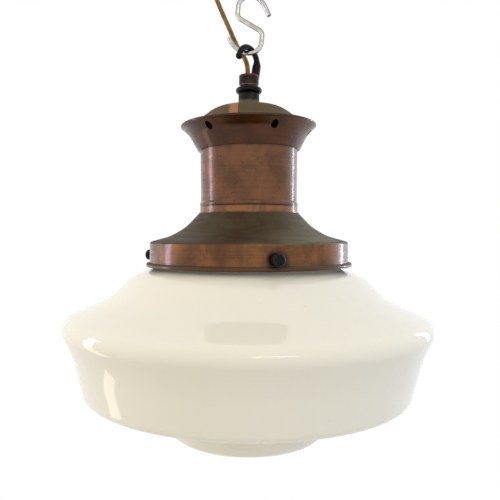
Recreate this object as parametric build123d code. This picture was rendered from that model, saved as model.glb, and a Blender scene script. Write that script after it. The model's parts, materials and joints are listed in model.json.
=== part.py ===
from build123d import *
import math
import os

# An opal glass pendant light: an S-hook, a black iron lamp hook, a vented copper
# gallery with a flared trumpet, three thumbscrews, a stepped opal shade, and a
# bayonet lampholder with its lamp inside.
# Lengths are millimetres and angles are degrees. The origin is the inside of the
# S-hook's upper bend, where the lamp is hung. +Z is up, +X is right, -Y is the front.

# Fits between pieces
thread_gap = 0.1
rest_gap = 0.2
glass_gap = 0.3
screw_gap = 0.05
solder_gap = 0.1

# S-hook, bent from round galvanised wire
s_wire_d = 4.0
s_shank_half_l = 9.9
s_shank_slope = 34.0
s_shoulder_r = 6.0
s_shoulder_turn = 61.0
s_side_l = 4.9
s_bend_r = 9.4
s_bend_turn = 85.0
s_lip_r = 17.7
s_lip_turn = 32.0
s_tip_r = 25.7
s_tip_turn = 36.0
s_plan_turn = -16.0
s_centre_x = 0.8

# Lamp hook, a black iron casting screwed on the down tube
arm_d = 4.9
arm_bend_r = 11.5
arm_tip_turn = 68.0
arm_ball_r = 3.0
arm_root_r = 3.8
arm_lean = 12.0
arm_plan_turn = 49.0
arm_crown_x = -0.7
arm_seat_rise = 0.25
arm_rise = 24.0
arm_root_depth = 4.5
cap_boss_r = 8.4
cap_boss_h = 8.1
cap_groove = 0.5
cap_neck_h = 2.5
cap_roof = 3.2
grub_r = 1.5
grub_drop = 3.2
grub_turn = -28.0

# Down tube, locknuts and entry boss
tube_r = 5.0
tube_bore_r = 3.6
collar_r = 11.2
collar_h = 5.0
entry_r = 8.9
entry_h = 7.0
entry_foot_r = 9.8
entry_foot_h = 0.9
washer_r = 10.0
washer_h = 1.2
nut_across = 17.0
nut_h = 4.0

# Flexible lead
flex_r = 2.05
core_r = 0.7
flex_exit_gap = 0.15
bush_wall = 0.9
bush_flange_r = 4.3
bush_flange_h = 1.0

# Spun copper gallery
fullest_round = 0.995  # share of a straight run that its two rounds may take up
sheet = 0.9
dome_crown_r = 15.5
dome_shoulder_r = 30.0
dome_shoulder_drop = 4.0
dome_foot_in = 11.8
rim_out = 14.4
rim_drop = 20.9
rim_wire_r = 1.2
cup_foot_ledge = 2.5
cup_knee_out = 7.1
cup_knee_drop = 7.3
cup_knee_round_r = 14.0
cup_h = 20.2
vent_count = 6
vent_r = 3.0
vent_turn = 25.0
vent_drop = 6.2
neck_top_r = 41.4
neck_taper = 0.5
neck_lap = 9.0
neck_h = 43.8
bead_h = 3.5
bead_proud = 0.5
band_step = 0.7
band_h = 6.4
band_lap = 2.2
trumpet_lip_h = 0.8
trumpet_throat_in = 30.2
trumpet_throat_drop = 11.6
trumpet_throat_round_r = 35.0
trumpet_brim_in = 17.7
trumpet_brim_drop = 19.0
trumpet_brim_round_r = 40.0
trumpet_foot_round_r = 0.6
trumpet_h = 23.9
skirt_r = 83.7
skirt_corner_r = 2.6
skirt_h = 19.0
roll_r = 1.8

# Thumbscrews and the bushes riveted in the skirt
screw_count = 3
screw_turn = 13.0
screw_r = 2.0
screw_drop = 12.0
screw_head_r = 4.6
screw_head_h = 9.6
screw_head_chamfer = 1.1
screw_flutes = 24
flute_depth = 0.35
bush_r = 4.7
bush_out = 2.6
bush_shank_r = 3.6
bush_in = 1.2

# Opal glass shade
glass = 3.2
glass_neck_in = 7.2
glass_lip_out = 3.1
glass_lip_h = 6.0
glass_neck_h = 11.8
glass_neck_round_r = 6.0
shoulder_in = 57.6
shoulder_drop = 19.4
shoulder_round_r = 45.0
waist_in = 39.9
waist_drop = 38.6
waist_round_r = 56.0
ridge_r = 156.3
ridge_drop = 55.3
ridge_round_r = 10.4
side_in = 11.8
side_drop = 79.8
side_round_r = 105.0
base_in = 20.7
base_drop = 115.4
base_round_r = 8.3
underside_drop = 14.7
glass_boss_r = 67.0
glass_boss_flare = 1.5
glass_boss_h = 22.0
glass_boss_crown = 5.0
glass_boss_root_round_r = 5.0
glass_boss_foot_round_r = 12.0
glass_boss_crown_round_r = 60.0

# Bayonet lampholder
seat_drop = 113.4
barrel_bore_r = 11.25
barrel_wall = 0.85
barrel_skirt_h = 19.5
barrel_thread_r = 14.0
barrel_thread_h = 7.0
barrel_flange_r = 15.2
barrel_flange_h = 1.0
slot_turn = 20.0
pin_r = 1.05
pin_reach = 13.5
pin_drop = 6.7
push_travel = 2.5
union_r = 17.2
union_h = 7.5
holder_cap_h = 28.0
holder_neck_r = 8.2
holder_neck_h = 6.0
holder_nut_across = 14.0
shade_ring_r = 16.6
shade_ring_flange_r = 19.5
shade_ring_h = 5.9
shade_ring_flange_h = 1.5
block_gap = 0.2
block_h = 17.0
plunger_r = 2.3
plunger_spacing = 11.0
plunger_l = 7.4
spring_l = 6.5
spring_wire = 0.5
post_r = 2.6
post_h = 6.0

# Bayonet lamp
lamp_cap_r = 11.0
lamp_cap_h = 20.0
lamp_flare_r = 12.6
lamp_flare_h = 5.0
lamp_glass_r = 30.0
lamp_l = 105.0
lamp_glass_wall = 0.8
lamp_glass_neck_gap = 1.1
lamp_throat_drop = 14.0
lamp_shoulder_drop = 46.0
filament_r = 0.35


def polar_point(radius, turn, z=0.0):
    """A point at a radius and a plan turn measured from the front, towards the right."""
    angle = math.radians(turn)
    return Vector(radius * math.sin(angle), -radius * math.cos(angle), z)


def turned(face):
    """Spin a face drawn as (radius, height) about the lamp's axis."""
    return revolve(Plane.XZ * face, Axis.Z, 360)


def turned_points(points):
    """Spin a closed outline of straight sides about the lamp's axis."""
    return turned(make_face(Polyline(*points, close=True)))


def ring(inner_r, outer_r, low, high):
    """A plain ring, or a disc where the inner radius is zero."""
    points = [(inner_r, low), (outer_r, low), (outer_r, high), (inner_r, high)]
    return turned_points(points)


def rounded_line(points, radii):
    """Straight runs with rounded corners, where a round is made smaller if its runs are too short for it."""
    corners = [Vector(*point) for point in points]
    runs = [b - a for a, b in zip(corners, corners[1:])]
    turns = [math.radians(a.get_angle(b)) for a, b in zip(runs, runs[1:])]
    reach = [0.0, *(r * math.tan(turn / 2) for r, turn in zip(radii, turns)), 0.0]
    shares = [run.length * fullest_round / (a + b) for run, a, b in zip(runs, reach, reach[1:])]
    rounds = [r * min(1.0, a, b) for r, a, b in zip(radii, shares, shares[1:])]
    return FilletPolyline(*points, radius=rounds)


def wall_face(curve, thickness):
    """The section of a sheet or glass wall whose outer skin is the curve."""
    outer = Wire(curve.edges())
    return make_face(outer.offset_2d(thickness, side=Side.RIGHT, closed=True))


def upright_cylinder(radius, low, high, x=0.0, y=0.0):
    """A cylinder between two heights."""
    centre = Pos(x, y, (low + high) / 2)
    return centre * Cylinder(radius, high - low)


def radial_plane(turn, z):
    """A plane on the lamp's axis that faces outwards at a plan turn."""
    return Plane(origin=(0, 0, z), z_dir=polar_point(1, turn))


def radial_cylinder(radius, near, far, turn, z):
    """A cylinder that points outwards, between two radii."""
    return extrude(radial_plane(turn, z).offset(near) * Circle(radius), far - near)


def hexagon_nut(across, bore_r, low, high):
    """A hexagon nut with its corners turned off above and below."""
    corner_r = across / math.sqrt(3)
    flats = extrude(Pos(0, 0, low) * RegularPolygon(corner_r, 6), high - low)
    turned_off = corner_r - across / 2
    corners = upright_cylinder(corner_r, low, high)
    corners = chamfer(corners.edges().filter_by(GeomType.CIRCLE), turned_off * 0.6, turned_off)
    return (flats & corners) - upright_cylinder(bore_r, low, high)


# The S-hook


def s_half_line():
    """Half of the S, from its middle to the tip of the lower hook."""
    shank = PolarLine((0, 0), s_shank_half_l, -s_shank_slope)
    shoulder = JernArc(shank @ 1, shank % 1, s_shoulder_r, -s_shoulder_turn)
    side = PolarLine(shoulder @ 1, s_side_l, direction=shoulder % 1)
    bend = JernArc(side @ 1, side % 1, s_bend_r, -s_bend_turn)
    lip = JernArc(bend @ 1, bend % 1, s_lip_r, -s_lip_turn)
    tip = JernArc(lip @ 1, lip % 1, s_tip_r, -s_tip_turn)
    return Curve() + [shank, shoulder, side, bend, lip, tip]


s_half = s_half_line()
s_drop = -s_half.bounding_box().min.Y
s_centre_z = s_wire_d / 2 - s_drop
s_low_z = 2 * s_centre_z


def s_hook():
    """A round wire swept along the S, the same above and below its middle."""
    both = s_half.edges() + (Rot(0, 0, 180) * s_half).edges()
    path = Wire(both)
    plane = Plane(origin=(0, 0, s_centre_z), x_dir=(1, 0, 0), z_dir=(0, -1, 0))
    path = Pos(s_centre_x, 0, 0) * Rot(0, 0, s_plan_turn) * (plane * path)
    section = Plane(origin=path @ 0, z_dir=path % 0) * Circle(s_wire_d / 2)
    return sweep(section, path)


# The lamp hook, its boss and the grub screw

crown_z = s_low_z + rest_gap + arm_seat_rise + arm_d / 2
boss_top_z = crown_z - arm_rise
boss_foot_z = boss_top_z - cap_boss_h
collar_top_z = boss_foot_z - cap_neck_h
flex_offset = tube_bore_r - flex_r - flex_exit_gap
flex_x = -flex_offset * math.sin(math.radians(45))
flex_y = flex_offset * math.sin(math.radians(45))
tube_top_z = boss_top_z - cap_roof - rest_gap
bush_r_outer = flex_r + flex_exit_gap + bush_wall


def arm_plane():
    """The upright plane of the hook's arch, through its crown."""
    x_dir = Vector(1, 0, 0).rotate(Axis.Z, arm_plan_turn)
    return Plane(origin=(arm_crown_x, 0, crown_z), x_dir=x_dir, z_dir=x_dir.cross(Vector(0, 0, 1)))


def suspension_hook():
    """The arch with its ball end, its thickened root, and the boss that it grows from."""
    plane = arm_plane()
    left = JernArc((0, 0), (-1, 0), arm_bend_r, arm_tip_turn)
    right = JernArc((0, 0), (1, 0), arm_bend_r, -90 - arm_lean)
    drop = (right @ 1).Y + arm_rise - arm_root_depth
    root = Line(right @ 1, right @ 1 + (right % 1) * (drop / math.cos(math.radians(arm_lean))))
    path = plane * Wire([left, right, root])
    section = Plane(origin=path @ 0, z_dir=path % 0) * Circle(arm_d / 2)
    arch = sweep(section, path)
    ball = Pos(*plane.from_local_coords(left @ 1)) * Sphere(arm_ball_r)
    root_top = plane.from_local_coords(root @ 1)
    root_foot = plane.from_local_coords(root @ 1 + (root % 1) * arm_root_depth)
    swell = loft([
        Plane(origin=root_top, z_dir=path % 1) * Circle(arm_d / 2),
        Plane(origin=root_foot, z_dir=path % 1) * Circle(arm_root_r),
    ])
    swell += Pos(*root_foot) * Sphere(arm_root_r)
    boss = upright_cylinder(cap_boss_r, boss_foot_z, boss_top_z)
    boss = fillet(boss.edges().filter_by(GeomType.CIRCLE), 0.8)
    neck = upright_cylinder(cap_boss_r - cap_groove, collar_top_z + rest_gap / 2, boss_foot_z + 1)
    casting = boss + neck + swell + arch + ball
    casting -= upright_cylinder(tube_r + thread_gap, collar_top_z - 1, tube_top_z + rest_gap)
    casting -= upright_cylinder(bush_r_outer + solder_gap, tube_top_z, boss_top_z + 0.5, flex_x, flex_y)
    return casting - radial_cylinder(grub_r + screw_gap, tube_r - 1, cap_boss_r + 1, grub_turn, grub_z)


grub_z = boss_top_z - grub_drop - cap_roof / 2


def grub_screw():
    """A headless screw that locks the casting on the tube, with its slot outside."""
    screw = radial_cylinder(grub_r, tube_r + screw_gap, cap_boss_r - 0.3, grub_turn, grub_z)
    slot = radial_plane(grub_turn, grub_z).offset(cap_boss_r - 1.0) * Rectangle(0.5, 2 * grub_r + 1)
    return screw - extrude(slot, 2)


def entry_bush():
    """The insulating bush in the casting's roof, which the lead leaves through."""
    low = tube_top_z + rest_gap
    bush = upright_cylinder(bush_r_outer, low, boss_top_z + 0.01, flex_x, flex_y)
    flange = upright_cylinder(bush_flange_r, boss_top_z, boss_top_z + bush_flange_h, flex_x, flex_y)
    top_edge = flange.edges().group_by(Axis.Z)[-1]
    bush += fillet(top_edge, bush_flange_h * 0.5)
    return bush - upright_cylinder(flex_r + 0.05, low - 1, boss_top_z + bush_flange_h + 1, flex_x, flex_y)


# The tube, the locknuts and the boss under the hook

collar_foot_z = collar_top_z - collar_h
entry_top_z = collar_foot_z
entry_foot_z = entry_top_z - entry_h
dome_top_z = entry_foot_z - entry_foot_h
seat_z = dome_top_z - seat_drop


def collar_locknut():
    """The round locknut, whose rim bulges like a bead."""
    mid = (collar_top_z + collar_foot_z) / 2
    shoulder = collar_r - collar_h * 0.28
    outline = Curve() + [
        Line((tube_r + thread_gap, collar_top_z), (shoulder - 0.8, collar_top_z)),
        ThreePointArc((shoulder - 0.8, collar_top_z), (collar_r, mid), (shoulder - 0.8, collar_foot_z)),
        Line((shoulder - 0.8, collar_foot_z), (tube_r + thread_gap, collar_foot_z)),
        Line((tube_r + thread_gap, collar_foot_z), (tube_r + thread_gap, collar_top_z)),
    ]
    return turned(make_face(outline.edges()))


def entry_boss():
    """The turned boss between the locknut and the dome, with a small foot."""
    body = ring(tube_r + thread_gap, entry_r, dome_top_z, entry_top_z - 0.02)
    body = fillet(body.edges().group_by(Axis.Z)[-1].filter_by(GeomType.CIRCLE).sort_by(SortBy.RADIUS)[-1], 0.8)
    foot = ring(tube_r + thread_gap, entry_foot_r, dome_top_z, entry_foot_z)
    return body + foot


def down_tube():
    """The threaded tube that carries the whole lamp and leads the flex down."""
    return ring(tube_bore_r, tube_r, tube_foot_z, tube_top_z)


def dome_washer():
    """The washer that spreads the nut's load under the dome."""
    top = dome_top_z - sheet
    return ring(tube_r + thread_gap, washer_r, top - washer_h, top)


def dome_nut():
    """The hexagon nut that clamps the dome."""
    top = dome_top_z - sheet - washer_h
    return hexagon_nut(nut_across, tube_r + thread_gap, top - nut_h, top)


# The copper gallery

neck_foot_r = neck_top_r - neck_taper
band_r = neck_foot_r + band_step
cup_foot_r = neck_top_r + cup_foot_ledge
cup_knee_r = cup_foot_r + cup_knee_out
rim_r = cup_foot_r + rim_out
dome_foot_r = rim_r - dome_foot_in
rim_z = dome_top_z - rim_drop
rim_wire_centre_r = rim_r - rim_wire_r
cup_foot_z = rim_z - cup_h
neck_top_z = cup_foot_z + neck_lap
bead_top_z = cup_foot_z - neck_h
bead_foot_z = bead_top_z - bead_h
band_foot_z = bead_foot_z - band_h
neck_end_z = band_foot_z - band_lap
trumpet_top_z = band_foot_z
skirt_top_z = trumpet_top_z - trumpet_h
skirt_foot_z = skirt_top_z - skirt_h
screw_z = skirt_top_z - screw_drop


def dome_line():
    """The dome's outer skin, from the tube hole to the edge inside the rim wire."""
    edge_z = rim_z + rim_wire_r
    points = [
        (tube_r + thread_gap, dome_top_z),
        (dome_crown_r, dome_top_z),
        (dome_shoulder_r, dome_top_z - dome_shoulder_drop),
        (dome_foot_r, edge_z + 1.8),
        (rim_wire_centre_r, edge_z),
    ]
    return rounded_line(points, [38, 28, 18])


def dome_cap():
    """The pressed dome that closes the top of the vented cup."""
    dome = turned(wall_face(dome_line(), sheet))
    return dome - Pos(0, 0, rim_z) * Torus(rim_wire_centre_r, rim_wire_r + 0.02)


def cup_line():
    """The cup's outer skin, which flares from its foot to the rim."""
    points = [
        (rim_wire_centre_r + 0.5, rim_z - rim_wire_r / 2),
        (cup_knee_r, rim_z - cup_knee_drop),
        (cup_foot_r, cup_foot_z),
    ]
    return rounded_line(points, [cup_knee_round_r])


def vent_collar():
    """The flared cup with its wired rim, its vent holes and its turned-in foot."""
    wall = turned(wall_face(cup_line(), sheet))
    rim = Pos(0, 0, rim_z) * Torus(rim_wire_centre_r, rim_wire_r)
    foot = ring(neck_top_r + solder_gap, cup_foot_r, cup_foot_z, cup_foot_z + sheet)
    cup = wall + rim + foot
    for k in range(vent_count):
        turn = vent_turn + k * 360 / vent_count
        cup -= radial_cylinder(vent_r, cup_foot_r - 2, rim_r - 2 * rim_wire_r, turn, rim_z - vent_drop)
    return cup


def neck_tube():
    """The neck: a slightly tapered tube, one raised bead and a plain band."""
    outline = Curve() + [
        Line((neck_top_r, neck_top_z), (neck_top_r, cup_foot_z)),
        Line((neck_top_r, cup_foot_z), (neck_foot_r, bead_top_z)),
        ThreePointArc(
            (neck_foot_r, bead_top_z),
            (band_r + bead_proud, (bead_top_z + bead_foot_z) / 2),
            (band_r, bead_foot_z),
        ),
        Line((band_r, bead_foot_z), (band_r, neck_end_z)),
    ]
    inner = neck_foot_r - sheet
    closing = [
        Line((band_r, neck_end_z), (inner, neck_end_z)),
        Line((inner, neck_end_z), (inner, neck_top_z)),
        Line((inner, neck_top_z), (neck_top_r, neck_top_z)),
    ]
    return turned(make_face(outline.edges() + [c.edge() for c in closing]))


def trumpet_line():
    """The gallery's outer skin: collar, flare, corner and upright skirt."""
    collar_outer_r = band_r + solder_gap + sheet
    points = [
        (collar_outer_r, trumpet_top_z + trumpet_lip_h),
        (collar_outer_r, trumpet_top_z),
        (skirt_r - trumpet_throat_in, trumpet_top_z - trumpet_throat_drop),
        (skirt_r - trumpet_brim_in, trumpet_top_z - trumpet_brim_drop),
        (skirt_r, skirt_top_z),
        (skirt_r, skirt_foot_z),
    ]
    rounds = [trumpet_foot_round_r, trumpet_throat_round_r, trumpet_brim_round_r, skirt_corner_r]
    return rounded_line(points, rounds)


def trumpet_gallery():
    """The spun trumpet with its skirt, its rolled rim and the bush holes."""
    wall = turned(wall_face(trumpet_line(), sheet))
    roll = Pos(0, 0, skirt_foot_z) * Torus(skirt_r + roll_r - 0.5, roll_r)
    gallery = wall + roll
    for turn in screw_turns:
        gallery -= radial_cylinder(bush_shank_r, skirt_r - 5, skirt_r + 5, turn, screw_z)
    return gallery


# Thumbscrews

screw_turns = [screw_turn + k * 360 / screw_count for k in range(screw_count)]
glass_neck_r = skirt_r - glass_neck_in
screw_tip_r = glass_neck_r + glass_gap
screw_head_near = skirt_r + bush_out + 0.4


def screw_bushes():
    """The tapped bushes, each with a flange outside and a riveted collar inside."""
    bushes = []
    for turn in screw_turns:
        shank = radial_cylinder(bush_shank_r, skirt_r - sheet - bush_in, skirt_r + 1, turn, screw_z)
        outside = radial_cylinder(bush_r, skirt_r - 1.0, skirt_r + bush_out, turn, screw_z)
        inside = radial_cylinder(bush_r, skirt_r - sheet - bush_in, skirt_r - 0.2, turn, screw_z)
        skirt = ring(skirt_r - sheet, skirt_r, screw_z - bush_r - 1, screw_z + bush_r + 1)
        skirt -= radial_cylinder(bush_shank_r, skirt_r - 5, skirt_r + 5, turn, screw_z)
        bush = (shank + outside + inside) - skirt
        bush -= radial_cylinder(screw_r + screw_gap, skirt_r - 9, skirt_r + 9, turn, screw_z)
        bushes.append(bush)
    return Compound(children=[b.solid() for b in bushes])


def thumbscrew(turn):
    """A screw with a fluted round head, its end chamfered."""
    shank = radial_cylinder(screw_r, screw_tip_r, screw_head_near + 0.5, turn, screw_z)
    head = radial_cylinder(screw_head_r, screw_head_near, screw_head_near + screw_head_h, turn, screw_z)
    ends = head.edges().filter_by(GeomType.CIRCLE)
    head = chamfer(ends, screw_head_chamfer)
    plane = radial_plane(turn, screw_z).offset(screw_head_near)
    flutes = PolarLocations(screw_head_r + flute_depth * 0.4, screw_flutes) * Circle(flute_depth)
    fluted = Circle(screw_head_r) - flutes
    return shank + (head & extrude(plane * fluted, screw_head_h))


# Opal glass shade

glass_lip_r = glass_neck_r + glass_lip_out
lip_foot_z = screw_z + screw_r + glass_gap
lip_top_z = lip_foot_z + glass_lip_h


def shade_line():
    """The shade's outer skin from the neck to the middle of the bottom boss."""
    boss_root_z = lip_foot_z - base_drop - underside_drop
    boss_foot_z = boss_root_z - glass_boss_h
    bottom_z = boss_foot_z - glass_boss_crown
    points = [
        (glass_neck_r, lip_top_z),
        (glass_neck_r, lip_foot_z - glass_neck_h),
        (ridge_r - shoulder_in, lip_foot_z - shoulder_drop),
        (ridge_r - waist_in, lip_foot_z - waist_drop),
        (ridge_r, lip_foot_z - ridge_drop),
        (ridge_r - side_in, lip_foot_z - side_drop),
        (ridge_r - base_in, lip_foot_z - base_drop),
        (glass_boss_r + glass_boss_flare, boss_root_z),
        (glass_boss_r, boss_foot_z),
        (glass_boss_r / 3, bottom_z),
        (0, bottom_z),
    ]
    rounds = [
        glass_neck_round_r,
        shoulder_round_r,
        waist_round_r,
        ridge_round_r,
        side_round_r,
        base_round_r,
        glass_boss_root_round_r,
        glass_boss_foot_round_r,
        glass_boss_crown_round_r,
    ]
    return rounded_line(points, rounds)


def glass_shade():
    """The hollow shade with the lip that hangs on the thumbscrews."""
    shade = turned(wall_face(shade_line(), glass))
    lip = ring(glass_neck_r - 0.5, glass_lip_r, lip_foot_z, lip_top_z)
    lip = fillet(lip.edges().filter_by(GeomType.CIRCLE).sort_by(SortBy.RADIUS)[-2:], 1.2)
    return shade + lip


# Bayonet lampholder

barrel_foot_z = seat_z - barrel_skirt_h + 2
shoulder_z = seat_z + 2
thread_top_z = shoulder_z + 1 + barrel_thread_h
holder_cap_z = thread_top_z + barrel_flange_h
holder_top_z = holder_cap_z + holder_cap_h
tube_foot_z = holder_top_z - 2
block_foot_z = shoulder_z + 1
block_top_z = block_foot_z + block_h
plunger_y = plunger_spacing / 2


def bayonet_slots():
    """The J-shaped cuts that the lamp's pins enter, hook and rest in."""
    width = 2 * pin_r + 0.3
    seat = seat_z - pin_drop
    top = seat + push_travel + width / 2
    cuts = Part()
    for side in (0, 180):
        mouth = Rot(0, 0, side - slot_turn) * Pos(barrel_bore_r, 0, (barrel_foot_z - 1 + top) / 2)
        cuts += mouth * Box(4, width, top - barrel_foot_z + 1)
        pocket_low = seat - width / 2
        pocket = Rot(0, 0, side) * Pos(barrel_bore_r, 0, (pocket_low + top) / 2)
        cuts += pocket * Box(4, width, top - pocket_low)
        bridge_face = Plane.XZ * Pos(barrel_bore_r, top - width / 2) * Rectangle(4, width)
        bridge = revolve(Rot(0, 0, side - slot_turn) * bridge_face, Axis.Z, slot_turn)
        cuts += bridge
    return cuts


def holder_barrel():
    """The brass barrel: slotted skirt, shoulder, threaded shell and clamping flange."""
    outer_r = barrel_bore_r + barrel_wall
    skirt = ring(barrel_bore_r, outer_r, barrel_foot_z, shoulder_z + 1)
    shoulder = ring(barrel_bore_r, barrel_thread_r, shoulder_z, shoulder_z + 1)
    shell = ring(barrel_thread_r - 1, barrel_thread_r, shoulder_z, thread_top_z + barrel_flange_h)
    flange = ring(barrel_thread_r - 1, barrel_flange_r, thread_top_z, thread_top_z + barrel_flange_h)
    return (skirt + shoulder + shell + flange) - bayonet_slots()


def union_ring():
    """The ring that screws on the cap and clamps the barrel's flange."""
    low = thread_top_z - 2.5
    top = low + union_h
    clamp = ring(barrel_thread_r + thread_gap, union_r, low, thread_top_z)
    sleeve = ring(barrel_flange_r + thread_gap, union_r, thread_top_z, top)
    return clamp + sleeve


def holder_cap():
    """The domed brass cap with its threaded neck."""
    spigot_top = thread_top_z + union_h - 2.5 + 0.1
    points = [
        (barrel_flange_r - 1.2, holder_cap_z),
        (barrel_flange_r, holder_cap_z),
        (barrel_flange_r, spigot_top),
        (union_r, spigot_top),
        (union_r, holder_top_z - 10),
        (holder_neck_r + 3, holder_top_z),
        (holder_neck_r, holder_top_z),
        (holder_neck_r, holder_top_z + holder_neck_h),
        (tube_r + thread_gap, holder_top_z + holder_neck_h),
        (tube_r + thread_gap, holder_top_z - 1.2),
        (holder_neck_r + 2.2, holder_top_z - 1.2),
        (union_r - 1.2, holder_top_z - 10.6),
        (union_r - 1.2, spigot_top + 1.2),
        (barrel_flange_r - 1.2, spigot_top + 1.2),
    ]
    return turned_points(points)


def holder_nut():
    """The hexagon nut that locks the holder on the tube."""
    low = holder_top_z + holder_neck_h + 0.05
    return hexagon_nut(holder_nut_across, tube_r + thread_gap, low, low + nut_h)


def shade_ring():
    """The threaded ring that a lampshade would be clamped with."""
    top = thread_top_z - 2.5 - rest_gap
    low = top - shade_ring_h
    sleeve = ring(barrel_thread_r + thread_gap, shade_ring_r, low, top)
    flange = ring(barrel_thread_r + thread_gap, shade_ring_flange_r, low, low + shade_ring_flange_h)
    return sleeve + flange


def terminal_block():
    """The porcelain block with its two plunger bores and cable slot."""
    block_r = barrel_thread_r - 1 - block_gap
    block = upright_cylinder(block_r, block_foot_z + 0.02, block_top_z)
    block = fillet(block.edges().group_by(Axis.Z)[-1], 1.0)
    for side in (-1, 1):
        bore_top = block_foot_z + plunger_l - 3.0 + spring_l
        block -= upright_cylinder(plunger_r + 0.1, block_foot_z - 1, bore_top, 0, side * plunger_y)
        block -= upright_cylinder(post_r * 0.5 + 0.1, bore_top - 1, block_top_z + 1, 0, side * plunger_y)
    notch = Pos(block_r, 0, block_top_z) * Box(8, 5, 8)
    return block - notch


def contact_plunger(side):
    """A sprung brass contact with a domed tip."""
    low = seat_z + screw_gap * 2
    plunger = upright_cylinder(plunger_r, low, low + plunger_l - 0.1, 0, side * plunger_y)
    return fillet(plunger.edges().group_by(Axis.Z)[0], 0.8)


def plunger_spring(side):
    """The spring's envelope, a thin sleeve between the plunger and the bore's end."""
    low = seat_z + screw_gap * 2 + plunger_l
    top = block_foot_z + plunger_l - 3.0 + spring_l - 0.05
    outer = upright_cylinder(plunger_r - 0.1, low, top, 0, side * plunger_y)
    return outer - upright_cylinder(plunger_r - 0.1 - spring_wire, low - 1, top + 1, 0, side * plunger_y)


def terminal_posts():
    """The two brass posts on the block, each with a cross hole for a core."""
    posts = []
    for side in (-1, 1):
        post = upright_cylinder(post_r, block_top_z + 0.02, block_top_z + post_h, 0, side * plunger_y)
        tail_low = block_foot_z + plunger_l - 3.0 + spring_l
        post += upright_cylinder(post_r * 0.5, tail_low + 0.05, block_top_z + 1, 0, side * plunger_y)
        hole = Pos(0, side * plunger_y, block_top_z + post_h * 0.45) * Rot(0, 90, 0)
        post -= hole * Cylinder(core_r + 0.15, 4 * post_r)
        posts.append(post.solid())
    return Compound(children=posts)


def terminal_screws():
    """The clamping screws in the tops of the posts."""
    screws = []
    for side in (-1, 1):
        low = block_top_z + post_h + 0.02
        head = upright_cylinder(post_r * 0.8, low, low + 1.6, 0, side * plunger_y)
        slot = Pos(0, side * plunger_y, low + 1.4) * Box(0.6, 4 * post_r, 1.0)
        screws.append((head - slot).solid())
    return Compound(children=screws)


# Bayonet lamp

lamp_cap_foot_z = seat_z - lamp_cap_h
lamp_neck_z = lamp_cap_foot_z - lamp_flare_h
lamp_tip_z = seat_z - lamp_l
lamp_glass_neck_r = lamp_flare_r - lamp_glass_neck_gap


def lamp_cap():
    """The brass lamp cap with its two side pins and its flared foot."""
    top = seat_z - 1.6
    points = [
        (lamp_cap_r - 0.6, top),
        (lamp_cap_r, top),
        (lamp_cap_r, lamp_cap_foot_z),
        (lamp_flare_r, lamp_neck_z),
        (lamp_flare_r - 0.6, lamp_neck_z),
        (lamp_cap_r - 0.6, lamp_cap_foot_z - 0.2),
    ]
    cap = turned_points(points)
    for side in (0, 180):
        pin = Rot(0, 0, side) * Pos((lamp_cap_r - 0.5 + pin_reach) / 2, 0, seat_z - pin_drop) * Rot(0, 90, 0)
        cap += pin * Cylinder(pin_r, pin_reach - lamp_cap_r + 0.5)
    return cap


def lamp_insulator():
    """The black glass insulator in the cap's end."""
    inner_r = lamp_cap_r - 0.6 - 0.02
    base = upright_cylinder(inner_r, seat_z - 4.0, seat_z - 1.0)
    return fillet(base.edges().group_by(Axis.Z)[-1], 0.8)


def lamp_contacts():
    """The two soldered contact plates."""
    plates = []
    for side in (-1, 1):
        plate = upright_cylinder(plunger_r, seat_z - 0.98, seat_z, 0, side * plunger_y)
        plates.append(fillet(plate.edges().group_by(Axis.Z)[-1], 0.4).solid())
    return Compound(children=plates)


def lamp_glass():
    """The pear-shaped glass bulb, open where the cap is cemented on."""
    points = [
        (lamp_glass_neck_r, lamp_neck_z + 1.5),
        (lamp_glass_neck_r + 2.0, lamp_neck_z - lamp_throat_drop),
        (lamp_glass_r, lamp_neck_z - lamp_shoulder_drop),
        (lamp_glass_r, lamp_tip_z),
        (0, lamp_tip_z),
    ]
    line = rounded_line(points, [30, 28, lamp_glass_r * 0.8])
    return turned(wall_face(line, lamp_glass_wall))


def lamp_filament():
    """The lead wires and the filament, bowed between them."""
    low = lamp_neck_z - 23
    points = [(-2.6, 0, low + 16), (-11, 0, low - 12), (-5, 0, low - 22)]
    points += [(-x, y, z) for x, y, z in reversed(points)]
    path = FilletPolyline(*points, radius=[4, 3, 3, 4])
    section = Plane(origin=path @ 0, z_dir=path % 0) * Circle(filament_r)
    return sweep(section, path)


def lamp_stem():
    """The glass stem, melted round the lead wires."""
    points = [
        (0, lamp_neck_z + 1.0),
        (lamp_glass_neck_r - 1.7, lamp_neck_z + 1.0),
        (3.2, lamp_neck_z - 9),
        (2.2, lamp_neck_z - 24),
        (0, lamp_neck_z - 25),
    ]
    return turned_points(points) - lamp_filament()


# The lead

flex_start_z = boss_top_z + bush_flange_h
flex_points = [
    (flex_x, flex_y, flex_start_z),
    (flex_x, flex_y, flex_start_z + 5.0),
    (-1.8, 2.3, -55.3),
    (-3.5, 5.0, -50.1),
    (-6.4, 8.5, -44.8),
    (-9.8, 11.0, -38.6),
    (-13.1, 12.9, -31.0),
    (-16.6, 14.4, -22.4),
    (-20.4, 15.6, -13.6),
    (-24.2, 16.6, -4.8),
    (-27.8, 17.4, 4.2),
    (-31.0, 18.0, 13.2),
    (-33.6, 18.4, 22.2),
    (-35.6, 18.7, 31.0),
]


def corner_radii(points):
    """The largest arc at each corner that leaves a little of both of its runs straight."""
    radii = []
    for before, here, after in zip(points, points[1:], points[2:]):
        run_in = Vector(*here) - Vector(*before)
        run_out = Vector(*after) - Vector(*here)
        half_turn = math.radians(run_in.get_angle(run_out)) / 2
        shorter = min(run_in.length, run_out.length)
        radii.append(0.45 * shorter / math.tan(half_turn))
    return radii


def flex_tube(points, radius):
    """A round lead along a route of straight runs and tangent arcs."""
    path = FilletPolyline(*points, radius=corner_radii(points))
    section = Plane(origin=path @ 0, z_dir=path % 0) * Circle(radius)
    return sweep(section, path), path.length


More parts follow.
